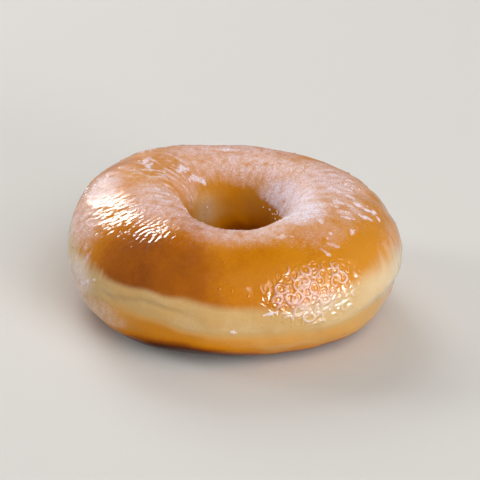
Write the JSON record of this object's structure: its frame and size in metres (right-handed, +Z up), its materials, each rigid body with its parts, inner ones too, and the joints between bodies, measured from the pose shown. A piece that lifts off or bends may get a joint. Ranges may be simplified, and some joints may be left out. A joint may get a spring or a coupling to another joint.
{
  "type": "glazed ring doughnut",
  "caption": "Yeast-raised ring doughnut with a browned, sugar-glazed crown, a pale band round its side and a flat-pressed base.",
  "frame": {"origin": "on the surface that the doughnut rests on, under the middle of its bounding box", "axes": "+Z up along the hole, -Y towards the side that the picture shows at the front, +X to the picture's right"},
  "size_m": [0.0966, 0.093, 0.0362],
  "materials": {
    "glazed_crust": "golden-brown fried dough under a clear sugar glaze, with a pale cream band",
    "sugar_glaze": "thin sugar glaze, clear where wet and frosted white where dried"
  },
  "bodies": {
    "root": {"dough_ring": "glazed_crust"}
  },
  "joints": []
}
